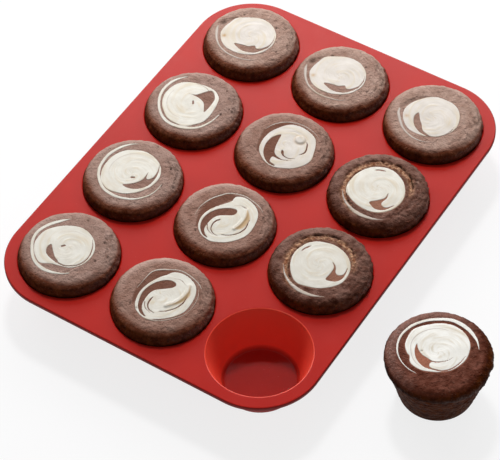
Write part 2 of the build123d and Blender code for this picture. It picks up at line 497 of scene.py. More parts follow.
def make_tin():
    """One moulding: deck with its rim, and twelve tapered cups."""
    bm = bmesh.new()
    inside = [
        (OPENING + LIP + LIP_LAND, DECK_TOP, 0),
        (OPENING, DECK_TOP, LIP),
        (CUP_FLOOR, FLOOR, FLOOR_FILLET),
        (0, FLOOR, 0),
    ]
    foot = CUP_FLOOR - FLOOR * SLOPE + LEVEL_WALL
    neck = OPENING - (DECK_TOP - DECK_UNDERSIDE) * SLOPE + LEVEL_WALL
    outside = [
        (neck + COLLAR, DECK_UNDERSIDE, 0),
        (neck, DECK_UNDERSIDE, NECK_ROUNDING),
        (foot, 0, FLOOR_FILLET + WALL),
        (0, 0, 0),
    ]
    for profile in (inside, outside):
        turn_profile(bm, divided(rounded(profile), 8), CUP_STEPS)
    cup = bm.verts[:] + bm.edges[:] + bm.faces[:]
    for name in CUPS[1:]:
        copy = bmesh.ops.duplicate(bm, geom=cup)["geom"]
        bmesh.ops.translate(bm, verts=verts_in(copy), vec=(*cup_place(name), 0))
    bmesh.ops.translate(bm, verts=verts_in(cup), vec=(*cup_place(CUPS[0]), 0))
    rim = [(RIM_WIDTH + 0.4, DECK_TOP), (RIM_ROUNDING + 0.2, DECK_TOP)]
    for turn in range(0, 91, 15):
        inset = RIM_ROUNDING * (1 - sin(radians(turn)))
        rim.append((inset, DECK_TOP - RIM_ROUNDING + RIM_ROUNDING * cos(radians(turn))))
    rim += [(0, RIM_BOTTOM + 0.6), (0.18, RIM_BOTTOM + 0.18), (0.6, RIM_BOTTOM)]
    rim += [(RIM_WIDTH - 0.5, RIM_BOTTOM), (RIM_WIDTH - 0.1, RIM_BOTTOM + 0.3)]
    rim += [(RIM_WIDTH, DECK_UNDERSIDE - 0.4), (RIM_WIDTH + 0.4, DECK_UNDERSIDE)]
    make_rim(bm, rim)
    for height in (DECK_TOP, DECK_UNDERSIDE):
        bmesh.ops.triangle_fill(
            bm, use_beauty=True, use_dissolve=False, edges=open_edges(bm, height)
        )
    tin = make_piece(bm, "silicone_tin", silicone_finish(), paint_tin)
    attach(tin, "tray")
    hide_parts("tray_deck", *("cup_" + name for name in CUPS))


# ---- swirls: cream and cake laid one over the other, in millimetres from the centre ----
# a stroke: what it lays, area or line, its points, how much it covers, how soft its edge is
CREAM, CAKE = 1.0, 0.0


def pool(*outline):
    """Cream inside an outline of (x, y) points."""
    return (CREAM, "area", outline, 1.0, 0.4)


def streak(*outline):
    """Cake that shows inside an outline of (x, y) points."""
    return (CAKE, "area", outline, 1.0, 0.4)


def ribbon(*line, strength=1.0, softness=0.35):
    """Cream along a line of (x, y, width) points."""
    return (CREAM, "line", line, strength, softness)


def seam(*line, strength=1.0, softness=0.35):
    """Cake that shows along a line of (x, y, width) points."""
    return (CAKE, "line", line, strength, softness)


RINGED_1 = [
    ribbon((21.5, 13, 0.4), (16, 18.1, 2.2), (10.1, 22.7, 2.6), (1.7, 25.7, 2.3), (-6.7, 24.6, 2.2),
        (-15.2, 19.2, 2.1), (-21, 12.6, 2.2), (-23.6, 4.2, 2.6), (-22.7, -3.4, 2), (-20.2, -9.6, 1),
        (-17.7, -13, 0.8)),
    ribbon((-17.7, -13, 1.2), (-10.9, -18.7, 1.6), (-4.2, -21.4, 1.4), (1.7, -22, 0.8), strength=0.35,
        softness=0.7),
    pool((-0.8, 22.9), (5.9, 21), (13.2, 14.6), (17.8, 6.2), (18.6, -1.7), (15.2, -10.1), (8.4, -16.4),
        (0, -18.4), (-7.6, -16.6), (-13.6, -11.4), (-15.9, -4.2), (-17.4, 1.7), (-20.4, 7.6),
        (-19.6, 11.5), (-15.2, 17.3), (-8.4, 21.9)),
    streak((-3.8, 11.4), (-7.6, 12.2), (-11.8, 9.5), (-14.1, 3.4), (-14.6, -1.5), (-13.1, -0.6),
        (-11.6, 2.6), (-9.4, 5.2), (-6.7, 8.2)),
    seam((-14.3, 0, 1), (-14.4, -5, 0.8), (-13.2, -9.2, 0.7), (-9.8, -13.7, 0.7), (-4.2, -16.5, 0.7),
        (1.7, -16.6, 0.6), (8.4, -14.3, 0.5), (13.9, -10.5, 0.2)),
    seam((6, 12, 0.2), (10.4, 9, 0.5), (13.7, 4.4, 0.7), (14.4, -1.8, 0.5), (13.4, -6.5, 0.2),
        strength=0.4),
    seam((-1.5, 4.1, 1.3), (0, 2.9, 1.3)),
]
RINGED_2 = [
    ribbon((25.3, 11.4, 0.3), (21.9, 16, 1.2), (16, 20.6, 2), (8.4, 23.6, 2.3), (0.8, 24.3, 2.2),
        (-7.6, 22.6, 2.1), (-15.2, 17.7, 2), (-21, 10.1, 2), (-22.7, 2.5, 2.3), (-22.5, -3.4, 2),
        (-20.2, -10.9, 1.6), (-16, -16.8, 1.2), (-10.1, -21, 1), (-3.4, -22.9, 0.7), (2.5, -22.9, 0.4)),
    pool((0.8, 21.5), (9.3, 19.8), (16, 15.2), (20.2, 7.6), (21.3, 1.7), (20.2, -5.1), (16.8, -11.8),
        (10.9, -16.8), (4.2, -18.7), (-3.4, -17.7), (-10.9, -13.9), (-16.8, -7.6), (-19.4, -1.7),
        (-20.6, 5.1), (-19.4, 10.1), (-15.2, 16), (-8.4, 20)),
    streak((-11.8, 0), (-12.6, -4.2), (-10.9, -9.3), (-7.6, -13.3), (-2.5, -15.9), (4.2, -16.4),
        (10.5, -15), (16.5, -11.8), (10, -14.3), (4.2, -14.6), (1, -12.5), (1.8, -10.6), (6.7, -9.2),
        (0.8, -9.6), (-2.5, -8.8), (-6.7, -6.2), (-10, -2.5)),
    seam((-9.3, 13, 0.3), (-5, 16, 0.5), (0.8, 17, 0.7), (7.6, 15.6, 0.7), (13.5, 11.8, 0.7),
        (16.8, 6.7, 0.6), (17.7, 0.8, 0.3), strength=0.45),
    seam((-3.3, -1.6, 1.4), (-2.4, -3.2, 1.4)),
]
RINGED_3 = [
    ribbon((20.2, 17.7, 0.4), (16.8, 21, 1.2), (10.9, 24.4, 2), (3.4, 25.9, 2.2), (-4.2, 25, 2.2),
        (-12.6, 20.9, 2), (-19.4, 14.8, 2), (-23.2, 7.6, 2.2), (-24, 0.8, 2.4), (-22.5, -6.7, 2.6),
        (-18.9, -13.3, 2), (-13.5, -17.9, 1.6), (-6.7, -20.6, 1.2), (0.8, -21.9, 0.5)),
    pool((0, 22.7), (6.7, 21.9), (12.6, 18.5), (16.4, 12.6), (18.2, 5.9), (19.1, -1.7), (18.1, -7.6),
        (13.9, -13), (8.4, -15.2), (1.7, -16.4), (-5.9, -16.7), (-11.8, -15.2), (-16.8, -11.8),
        (-20, -8.4), (-21.6, -4.2), (-21.9, 1.7), (-20.8, 8), (-16.4, 14.5), (-10.9, 19.4),
        (-4.2, 22.3)),
    streak((6.3, 8.4), (7.6, 2.9), (12.6, -0.8), (16.6, -4), (16.4, -6.7), (13.5, -9.7), (10.1, -11.4),
        (3.4, -12), (-2.9, -11.4), (0, -9.3), (4.2, -6.3), (6.3, -1.7), (6.6, 3.4)),
    seam((15.5, -3.6, 0.6), (17.3, 0, 0.7), (17.6, 5, 0.6), (16.5, 9, 0.3), strength=0.6),
    seam((-16.4, 0, 0.3), (-16, 6.7, 0.6), (-12.6, 13.5, 0.6), (-6.7, 17.7, 0.7), (0, 19.2, 0.6),
        (4.2, 18.8, 0.3), strength=0.45),
    seam((-17.5, -11, 0.4), (-12.6, -15.8, 1.5), (-6.7, -17.6, 1), (0, -17.5, 0.4)),
    seam((-0.2, -0.2, 1.3), (1.6, 1, 1.3)),
]
DISHED_FAR = [
    ribbon((-2.5, 26.9, 1.6), (-6.7, 25.3, 2.6), (-13.5, 21, 2.2), (-19, 15, 1.8), (-22, 7.6, 1.8),
        (-22.5, 0.8, 1.8), (-21.7, -5.9, 1.6), (-19.2, -12.6, 1.1), (-15.2, -16.4, 0.3), strength=0.6,
        softness=1.1),
    pool((-10.9, 19.4), (-6.7, 21.7), (-0.8, 22.1), (5, 21), (10.5, 19.8), (13.7, 15.6), (17.3, 9.3),
        (19.4, 2.5), (18.9, -4.2), (16, -10.1), (10.9, -15.2), (3.4, -18.1), (-2.5, -17.9),
        (-9.3, -15.2), (-14.3, -10.1), (-17.7, -3.4), (-18.7, 3.4), (-18.1, 9.3), (-15.2, 15.2)),
    streak((-11.6, 6.9), (-14.1, 1.6), (-14.6, -3.6), (-12.8, -9.3), (-9.3, -13), (-4.4, -16),
        (-1.5, -16.5), (-3.4, -15.2), (-6.7, -12.6), (-8, -9.8), (-6.1, -7.2), (-8.8, -3.6),
        (-9.9, 1.5)),
    seam((-4.4, -15.8, 0.8), (0, -16.8, 0.6), (5, -16.4, 0.4), (9, -15, 0.2)),
]
DISHED_TURNED = [
    ribbon((-4.5, 24.8, 1.8), (-9, 23, 2.6), (-15, 18, 2.4), (-20, 12.5, 2), (-23.2, 5, 1.9),
        (-23.8, -1, 1.6), (-22.4, -7, 1), (-19, -12.5, 0.4), strength=0.6, softness=1.1),
    pool((0, 21.2), (6, 19.5), (12, 15), (17.2, 9.8), (18.9, 4), (18.8, -4), (16.5, -10.1),
        (10.9, -15.5), (3.4, -18.4), (-2.5, -18.6), (-9.3, -16.2), (-14.3, -12), (-18, -5), (-19.2, 2),
        (-18.2, 9.3), (-15.2, 14.5), (-10.5, 18.8), (-5, 21)),
    streak((-1.7, 11.1), (-5, 12), (-9.3, 10.7), (-13.9, 6.9), (-16.8, 1.7), (-17.6, -3.4), (-16.9, -7),
        (-16, -3.6), (-14.8, -0.2), (-12.6, 2), (-9.7, 3.9), (-6.7, 6.9), (-2.9, 9.7)),
    seam((-17.3, -4, 0.8), (-16.2, -9, 0.7), (-12.4, -13.8, 0.5), (-7, -16.6, 0.4), (0, -17.3, 0.2)),
]
DOUBLE_1 = [
    ribbon((-4, 17.2, 0.4), (5.9, 17, 0.6), (12.6, 16.2, 0.9), (16.8, 12.6, 1), (19.6, 7.6, 0.9),
        (22, 3.2, 0.8), (23.2, -1.7, 0.8), (22.7, -7.6, 0.8), (20.6, -15.2, 0.7), (17.7, -19.8, 0.4),
        strength=0.75),
    ribbon((-21.5, 4, 0.5), (-21.9, -2, 1), (-20.5, -8, 1), (-16.5, -14, 1), (-11, -19, 0.9),
        (-5, -22.4, 0.7), (3, -23.2, 0.7), (11, -21.8, 0.8), (17.5, -17.5, 0.4), strength=0.5),
    pool((-21, -5), (-21.8, 0), (-19.8, 6.9), (-15.2, 11.2), (-8.4, 13.4), (-1.7, 13.6), (5, 12),
        (10.5, 9.6), (15.5, 6.2), (19.5, 3.5), (21.5, -1.7), (21, -8.4), (17.7, -15.2), (11.8, -19.4),
        (3.4, -21.2), (-4.2, -20.9), (-10.9, -17.7), (-16.8, -11.8)),
    streak((-20.7, -1), (-20.2, 3.2), (-17, 7.4), (-11.8, 10.3), (-4.2, 11.9), (3.5, 10.3), (9, 6.9),
        (12.2, 2.5), (12.9, -1.5), (11.2, -4.1), (8.4, -3.2), (5.5, 0), (2.5, 3.8), (-0.4, 6.4),
        (-5, 7.5), (-11.8, 7), (-16.5, 4.8), (-19.2, 1.5)),
    seam((-5, 3.7, 0.5), (-7.6, 4, 1), (-11.8, 3.2, 0.8), (-14.7, 0.4, 0.6), (-15.6, -4.2, 0.3)),
    seam((-10.9, 6.3, 0.7), (-14.7, 3.4, 0.6), (-16.6, -1.7, 0.3), strength=0.8),
    seam((-13, -6.3, 0.3), (-10.1, -10.5, 0.5), (-5, -14.3, 0.6), (0.8, -16.2, 0.7), (6.7, -15.8, 0.3)),
    seam((15.2, 0, 0.3), (16.4, -4.5, 0.6), (14.3, -10.1, 0.3), strength=0.7),
]
DOUBLE_2 = [
    ribbon((-8, 19, 0.3), (0, 19.8, 0.6), (8.4, 17.4, 0.9), (14, 14, 1), (19.4, 9.6, 0.9),
        (22.3, 3.2, 0.8), (23.2, -1.7, 0.8), (22.7, -7.6, 0.8), (20.6, -15.2, 0.7), (17.7, -19.8, 0.4),
        strength=0.75),
    pool((-21.5, -5), (-21.9, 0), (-19.8, 6.9), (-15.2, 11.6), (-8.4, 14), (-1.7, 13.6), (4, 11),
        (10.5, 6.6), (15, 3.8), (19.5, 3.3), (21.9, -1.7), (21.2, -8.4), (17.7, -15.2), (11.8, -19.4),
        (3.4, -21.4), (-4.2, -21.4), (-10.9, -18.4), (-17.2, -12.6)),
    streak((-20.4, 0.5), (-20, 4.4), (-17, 8.4), (-12.5, 11.2), (-7, 12.2), (-1, 11), (4.2, 7.6),
        (8.4, 2.5), (10, -1.7), (9.4, -4.2), (6.9, -5), (4.2, -3.4), (1.7, 0.8), (-0.8, 4.2),
        (-4.2, 6.3), (-10.1, 7.2), (-15.5, 6.4), (-18.8, 3.5)),
    seam((-3.5, 1.6, 1), (-5.5, 3.2, 1.1), (-9, 3.8, 0.8), (-13, 2.6, 0.6), (-15.4, -0.5, 0.5),
        (-15.9, -4.2, 0.3)),
    seam((-10.9, 7, 0.7), (-14.7, 4, 0.6), (-16.8, -1.2, 0.3), strength=0.8),
    seam((-13.6, -6.3, 0.4), (-11.6, -10.5, 0.5), (-7.5, -14.9, 0.6), (-1, -17.2, 0.8),
        (6.7, -15.8, 0.3)),
    seam((12.5, 0, 0.2), (14.4, -3.5, 0.5), (14.3, -8.6, 0.8), (13.5, -9.5, 0.3), strength=0.7),
]
DOUBLE_3 = [
    ribbon((6, 19.6, 0.3), (13, 16.5, 0.8), (18.5, 10.9, 0.8), (21.9, 3.4, 0.7), (22.7, -3.4, 0.7),
        (21, -11.8, 0.6), (17.7, -18.5, 0.3), strength=0.75),
    pool((-19.5, -8), (-20.8, -2), (-19.6, 3.5), (-17, 8), (-12.5, 12.8), (-6.7, 15), (0, 15.6),
        (6.3, 14.6), (12.6, 11.2), (17, 8), (19.6, 4.2), (20.8, -1.7), (19.8, -8.4), (16.8, -15.2),
        (10.9, -19.4), (4.2, -21.9), (-2.5, -23.6), (-9.3, -21.2), (-15.2, -16)),
    streak((-19.9, -3), (-19.2, 1.9), (-15.4, 7), (-10.1, 10.3), (-4.2, 11.6), (1.7, 11), (5.5, 8.6),
        (6.9, 6.6), (1.7, 5.6), (-4.2, 4.2), (-9, 2.2), (-11.6, -1.4), (-12, -4.2), (-13, -3), (-13, 1),
        (-15, 1.6), (-17.9, 0.4), (-18.9, -4)),
    seam((-12, -2, 1), (-12.4, -5, 0.6), (-11.4, -8.4, 0.4), (-9, -12, 0.2)),
    seam((-5, -1.8, 0.8), (-6.3, -2.6, 1.9), (-7.9, -4, 1.2), (-8.9, -5.9, 0.7), (-8.9, -9.3, 0.5),
        (-7, -13.4, 0.2)),
    seam((-2.5, -13.9, 0.3), (0.8, -16, 0.9), (4.2, -15.8, 0.9), (8.4, -13.9, 0.7), (10.4, -12.3, 0.2)),
    seam((11.5, 5, 0.2), (14, 1.5, 0.5), (14.8, -1.7, 0.5), (14.3, -4.2, 0.2), strength=0.6),
]
CRATERED = [
    pool((-0.8, 20), (5.9, 18.9), (11.8, 15.6), (15.6, 10.9), (17.7, 4.2), (18.1, -2.5), (16, -10.1),
        (11.8, -16), (5.9, -19.8), (-0.8, -21.2), (-7.6, -20.2), (-14.3, -15.2), (-18.5, -9.3),
        (-21, -1.7), (-21.7, 5), (-18.5, 10.9), (-12.6, 16), (-6.7, 18.9)),
    streak((-9.5, -9.9), (-4.2, -10.1), (1.7, -9.7), (5.2, -6.2), (2.7, -10.3), (-1.3, -12.6),
        (-2.5, -15.2), (0, -18), (6.2, -17.6), (0, -19.2), (-4.2, -18.9), (-7.6, -16.8), (-9.3, -13.5)),
    seam((2.5, 16.4, 0.3), (5, 15.9, 0.8), (8, 14.3, 0.9), (9.7, 13.3, 0.3)),
]
CRATER_RIBBON = ribbon((-12.1, 21.5, 0.6), (-19, 16.4, 1.6), (-23.4, 10, 2.4), (-25.6, 3.4, 3.2),
    (-26.1, -3, 3), (-25.2, -9.6, 2.2), (-23, -15, 1), (-21.4, -18, 0.4), strength=0.55, softness=0.9)
LOOSE_SWIRL = [
    ribbon((-22.3, 4.2, 0.4), (-21.5, 10.9, 0.7), (-18.5, 17.7, 0.8), (-13.5, 23.2, 1.1),
        (-6.7, 26.6, 1.4), (0.8, 27.5, 1.6), (9.3, 25.3, 2), (16.8, 20.2, 2), (21.9, 14.3, 2.2),
        (26.1, 6.7, 2.6), (26.9, -0.8, 2.8), (25.3, -8.4, 2.7), (21, -16, 1.6), (15.2, -21.2, 0.4)),
    pool((3.4, 23.6), (9.3, 21.9), (15.2, 16.8), (20.2, 10.9), (23.2, 3.4), (22.7, -4.2), (19.4, -10.9),
        (13.5, -15.6), (5, -17.7), (-1.7, -16.8), (-8.4, -13.9), (-13.5, -8.4), (-16.8, -2.5),
        (-18.5, 3.4), (-18.1, 8.4), (-16.4, 12.2), (-12.6, 14.7), (-10.9, 17.7), (-5.9, 21.9)),
    streak((-1.7, 15.4), (-6.7, 14.2), (-11.8, 10.4), (-14.9, 5), (-15.4, 0.8), (-14.2, -3.5),
        (-13.4, -0.5), (-11, 0.6), (-9, 0.2), (-8.2, 3.4), (-7.4, 8.4), (-4.8, 12.8)),
    seam((-14.2, -3, 0.9), (-12.2, -9, 0.8), (-7.8, -13.2, 0.7), (-1, -15.7, 0.5), (6, -16.4, 0.2)),
    seam((-9, 0.2, 0.7), (-7.6, -3.4, 0.6), (-3.4, -8, 0.3), (1, -10, 0.1)),
    seam((-15.8, 5, 0.3), (-15.2, 8.6, 0.5), (-11.8, 13.4, 0.7), (-5.9, 17.7, 0.7), (0.8, 19.2, 0.8),
        (8.4, 16.8, 0.8), (14.3, 11.8, 0.8), (17.3, 5.9, 0.6), (17.5, 0, 0.2), strength=0.5),
]


def smooth_line(points, closed=False, steps=6):
    """A smooth line through the points; a third number of each is the width there."""
    p = np.array(points, float)
    if closed:
        p = np.vstack([p[-1], p, p[0], p[1]])
    else:
        p = np.vstack([2 * p[0] - p[1], p, 2 * p[-1] - p[-2]])
    t = np.linspace(0, 1, steps, endpoint=False)[:, None]
    runs = [
        b + t * ((c - a) + t * ((2 * a - 5 * b + 4 * c - d) + t * (3 * b - a - 3 * c + d))) / 2
        for a, b, c, d in zip(p, p[1:], p[2:], p[3:])
    ]
    return np.vstack([*runs, runs[0][0] if closed else p[-2]])


def distance_to(x, y, kind, points):
    """How far each (x, y) is from a stroke's edge: negative inside it."""
    line = smooth_line(points, closed=kind == "area")
    margin = 3
    low, high = line[:, :2].min(0) - margin, line[:, :2].max(0) + margin
    close = (x > low[0]) & (x < high[0]) & (y > low[1]) & (y < high[1])
    far_off = 1e9
    result = np.full(x.shape, far_off)
    x, y = x[close], y[close]
    nearest = np.full(x.shape, far_off)
    inside = np.zeros(x.shape, bool)
    for a, b in zip(line, line[1:]):
        run = b - a
        share = ((x - a[0]) * run[0] + (y - a[1]) * run[1]) / max(run[0] ** 2 + run[1] ** 2, 1e-9)
        share = np.clip(share, 0, 1)
        apart = np.hypot(x - a[0] - share * run[0], y - a[1] - share * run[1])
        if kind == "line":
            apart = apart - np.maximum(a[2] + share * run[2], 0) / 2
        elif run[1]:
            level = (y > min(a[1], b[1])) & (y <= max(a[1], b[1]))
            inside ^= level & (x < a[0] + (y - a[1]) / run[1] * run[0])
        nearest = np.minimum(nearest, apart)
    result[close] = np.where(inside, -nearest, nearest)
    return result


def cover(x, y, strokes):
    """Share of cream over cake at each (x, y)."""
    share = np.zeros(x.shape)
    for value, kind, points, strength, softness in strokes:
        over = strength * ease(-distance_to(x, y, kind, points), -softness, softness)
        share += (value - share) * over
    return share


def turned(x, y, degrees):
    """The same places as seen by a pattern turned by that much."""
    c, s = cos(radians(degrees)), sin(radians(degrees))
    return x * c + y * s, y * c - x * s


def cream_points(strokes, kind):
    """The points of each stroke of cream of that kind: area or line."""
    return [points for value, laid, points, *rest in strokes if (value, laid) == (CREAM, kind)]


class Muffin:
    """What sets one muffin apart: its swirl, how it rose and how it baked."""

    turn = 0  # of the swirl, in degrees
    extra = ()  # strokes that don't turn with the swirl
    pores = ()  # places of small holes in the cake
    dent = None  # centre and half widths of a dip beside the cream
    groove = ()  # line of a narrower dip
    crater = None  # direction of the middle of the torn ring, in degrees
    creases = True  # whether the crust of the cap is wrinkled at its front
    streak_tone = 0.5  # how much the cake among the cream has its smooth colour
    rear_highlight = 0.12  # how strong the painted highlight on the rear of the cap is
    smoothed_area = ()  # outline of smooth cake outside the pool
    warm = None  # place of a browned spot on the cream
    fold = None  # crest and hollow of a fold in the cream
    dollop = None  # place of a raised dab of cream

    def __init__(self, strokes, spread, **own):
        self.strokes = strokes
        self.spread = spread  # radius of the cap
        vars(self).update(own)

    def dip(self, x, y):
        """How deep the cake is sunk beside the cream, from 0 to 1."""
        sunk = 0 * x
        if self.dent:
            (u, v), (long, wide) = self.dent
            sunk = sunk + bell(np.hypot((x - u) / long, (y - v) / wide), 1)
        if self.groove:
            sunk = np.maximum(sunk, 0.6 * ease(1.6 - distance_to(x, y, "line", self.groove), 0, 3))
        return sunk

    def cream(self, x, y):
        """Share of cream over cake, with the swirl turned as it is on this muffin."""
        share = cover(*turned(x, y, self.turn), self.strokes)
        if self.extra:
            share = np.maximum(share, cover(x, y, self.extra))
        return share

    def smoothed(self, x, y):
        """How much the cake is smoothed here, among the cream and just round it."""
        areas = cream_points(self.strokes, "area")
        if self.smoothed_area:
            areas.append(self.smoothed_area)
        x, y = turned(x, y, self.turn)
        return np.max([ease(1.0 - distance_to(x, y, "area", area), 0, 1.4) for area in areas], axis=0)

    def ribboned(self, x, y):
        """How much the cake is pressed smooth here, under a ribbon of cream."""
        share = 0 * x
        for turn, strokes in ((self.turn, self.strokes), (0, self.extra)):
            u, v = turned(x, y, turn)
            for line in cream_points(strokes, "line"):
                share = np.maximum(share, ease(0.9 - distance_to(u, v, "line", line), 0, 1))
        return share


FOLD_1 = (  # crest of a fold in the cream, and the shaded hollow beside it
    ((15.2, -12.2, 1), (10.4, -13.6, 1), (4, -13.3, 1), (-2.1, -11, 1), (-6.5, -7.8, 1)),
    (
        (15, -12.6), (10.4, -14.2), (4, -13.9), (-2.1, -11.6), (-6.5, -8.2), (-2.2, -13),
        (3, -16), (9, -16.6),
    ),
)
FOLD_2 = (
    ((13.2, -9.8, 1), (9.8, -11.2, 1), (6.6, -12, 1), (0.1, -12, 1), (-4.7, -11, 1)),
    (
        (13, -10.2), (6.6, -12.6), (0.1, -12.6), (-4.7, -11.4), (-4.4, -12.8), (-1.6, -15.5),
        (4.2, -16.2), (9, -15),
    ),
)
SMOOTHED_1 = (
    (-16, 12.5), (-9, 16), (-3, 17.4), (5.9, 17), (12.6, 16), (17, 12.4), (19.4, 7.4),
    (19, 3), (10, 8), (0, 12), (-8, 13),
)
SMOOTHED_3 = (
    (-14, 13.5), (-6, 17), (2, 19), (6, 19.4), (13, 16.3), (18.3, 10.8), (20, 5),
    (10, 11), (0, 14.5), (-8, 13.5),
)
SUNK = {  # what c4 and b4 share: the cake sunk behind their cream
    "dent": ((3.4, 25.8), (3.4, 2.6)),
    "groove": ((2.5, 25.5, 1.5), (8, 22.6, 1.6), (12, 19.4, 0.6)),
}
GROOVE_A4 = ((-3, 24.5, 1), (0, 23.8, 2), (7, 20.7, 2.6), (14.5, 14.5, 1))
TORN = {"extra": [CRATER_RIBBON], "crater": 45, "streak_tone": 0.9, "creases": False}
MUFFINS = {
    "c1": Muffin(RINGED_1, 34.5, pores=((0, -22.3), (16.2, -18.9), (7.2, -27.8), (26.5, 2.1))),
    "c2": Muffin(RINGED_2, 35.0, pores=((1.3, -23.7), (18.1, -20.6), (30.7, -0.8), (8.4, -29.5))),
    "c3": Muffin(RINGED_3, 34.5, pores=((1.3, -22.7), (17.5, -19.5), (8, -28.6), (28.8, 1.3))),
    "c4": Muffin(
        DISHED_FAR, 34.2, pores=((17.3, 16.6), (17.5, -11), (-3, -24)), warm=(-8.7, 17.5), **SUNK
    ),
    "b4": Muffin(
        DISHED_FAR, 33.9, pores=((15.2, 15.4), (17.5, -11), (-3, -24)), warm=(-8.9, 17.5), **SUNK
    ),
    "a4": Muffin(DISHED_TURNED, 35.2, groove=GROOVE_A4, warm=(-8.3, 17)),
    "b1": Muffin(
        DOUBLE_1, 34.3, pores=((-16.8, 14), (-18.1, 8.2)), streak_tone=0.9, fold=FOLD_1,
        smoothed_area=SMOOTHED_1, rear_highlight=0.5,
    ),
    "b2": Muffin(
        DOUBLE_2, 34.2, pores=((-19.1, 11.2),), streak_tone=0.9, fold=FOLD_2,
        smoothed_area=SMOOTHED_1, rear_highlight=0.45,
    ),
    "b3": Muffin(
        DOUBLE_3, 34.5, streak_tone=0.9, dollop=(9.8, -7.4), smoothed_area=SMOOTHED_3,
        rear_highlight=0.35,
    ),
    "a2": Muffin(CRATERED, 35.0, **TORN),
    "a3": Muffin(CRATERED, 35.3, turn=-42, **TORN),
    "loose": Muffin(LOOSE_SWIRL, 35.4, pores=((-5.2, 9.9),), streak_tone=0.95, creases=False),
}


def cake_profile(kind):
    """Side of a cake as (radius, height), from the middle of its top to its foot."""
    waist, cap, foot, rise, top = SIZES[kind]
    line = rounded([
        (0, top, 0),
        (cap, top, SHOULDER),
        (cap, foot + rise + CAP_LIP, 0),
        (waist, foot + rise, 0),
        (CUP_FLOOR - FOOT_GAP, foot, FLOOR_FILLET),
        (0, foot, 0),
    ])
    flat = [k for k, point in enumerate(line) if k and abs(point.y - top) < LEVEL][0]
    return (
        divided(line[: flat + 1], CAKE_STEP)
        + divided(line[flat:-2], 2 * CAKE_STEP)[1:]
        + divided(line[-2:], 6)[1:]
    )


def facing(angle, degrees, spread):
    """1 in that direction from a muffin's middle, falling smoothly to both sides of it."""
    return bell(np.degrees(angle) - degrees, spread)


class Crater:
    """The torn ring round a sunken pool: its bright rough band, its crack and its trench."""

    def __init__(self, muffin, x, y, seed):
        r, angle = np.hypot(x, y), np.degrees(np.arctan2(y, x))
        way = np.radians(angle)
        away = (angle - muffin.crater + 180) % 360 - 180
        left = ease(away, -20, 70)  # the half where the trench is deep and the crack fades
        around = 0.5 * mottle(6 * np.cos(way), 6 * np.sin(way), 0 * x, 1, seed + 30, 3)
        torn = mottle(x, y, 0 * x, 1.3, seed + 31, 2)
        shown = ease(away, -132, -104) * (1 - ease(away, 112, 140))
        middle = 22.7 + 3.7 * ease(away, 50, 140) + 0.6 * around  # radius of the bright band
        edge = middle + 2.0 + 0.9 * around - 1.2 * ease(away, -60, -100)  # and of the crack
        bright = np.clip(0.75 + 0.2 * left + 0.7 * torn, 0, 1)
        self.band = shown * bell(r - middle, 2.0) * bright
        split = np.clip(0.55 + 2.2 * around, 0, 1)
        self.crack = shown * (1 - 0.8 * left) * bell(r - edge, 0.55) * split
        deep = np.clip(0.6 + torn, 0, 1)
        self.trench = shown * (0.35 + 0.65 * left) * bell(r - middle + 2.1, 0.8) * deep
        self.height = shown * (0.45 * torn * bell(r - middle, 2.2) - 0.3 * bell(r - 22, 2.0))
        self.height += shown * 0.5 * bell(r - edge - 1.6, 1.2) - 1.2 * self.crack - 0.9 * self.trench


def top_relief(muffin, x, y, seed):
    """Height of a cap's top above its flat, in millimetres."""
    r = np.hypot(x, y)
    height = -0.5 * (r / 28) ** 2 + 0.28 * mottle(x, y, x * 0, 13, seed)
    if muffin.crater is not None:
        height += Crater(muffin, x, y, seed).height
    height -= 1.3 * muffin.dip(x, y)
    for u, v in muffin.pores:
        height -= 0.8 * bell(np.hypot(x - u, y - v), 0.7)
    return height


def wrinkles(x, y, seed):
    """Short slanting dents with a raised edge, where the crust at the front of a cap creased."""
    random = np.random.default_rng(seed + 60)
    dents = edges = 0 * x
    creases, front = 22, -52
    for _ in range(creases):
        way = radians(front + random.normal(0, 17))
        out = random.uniform(27, 33.2)
        slant = way + radians(random.uniform(115, 135))
        long, wide = random.uniform(1.2, 2.2), random.uniform(0.4, 0.6)
        dx, dy = x - out * cos(way), y - out * sin(way)
        along = dx * cos(slant) + dy * sin(slant)
        across = dy * cos(slant) - dx * sin(slant)
        dents = dents + bell(along, long) * bell(across, wide)
        edges = edges + bell(along, long) * bell(across - 1.1, 0.5)
    return np.clip(dents, 0, 1), np.clip(edges, 0, 1)


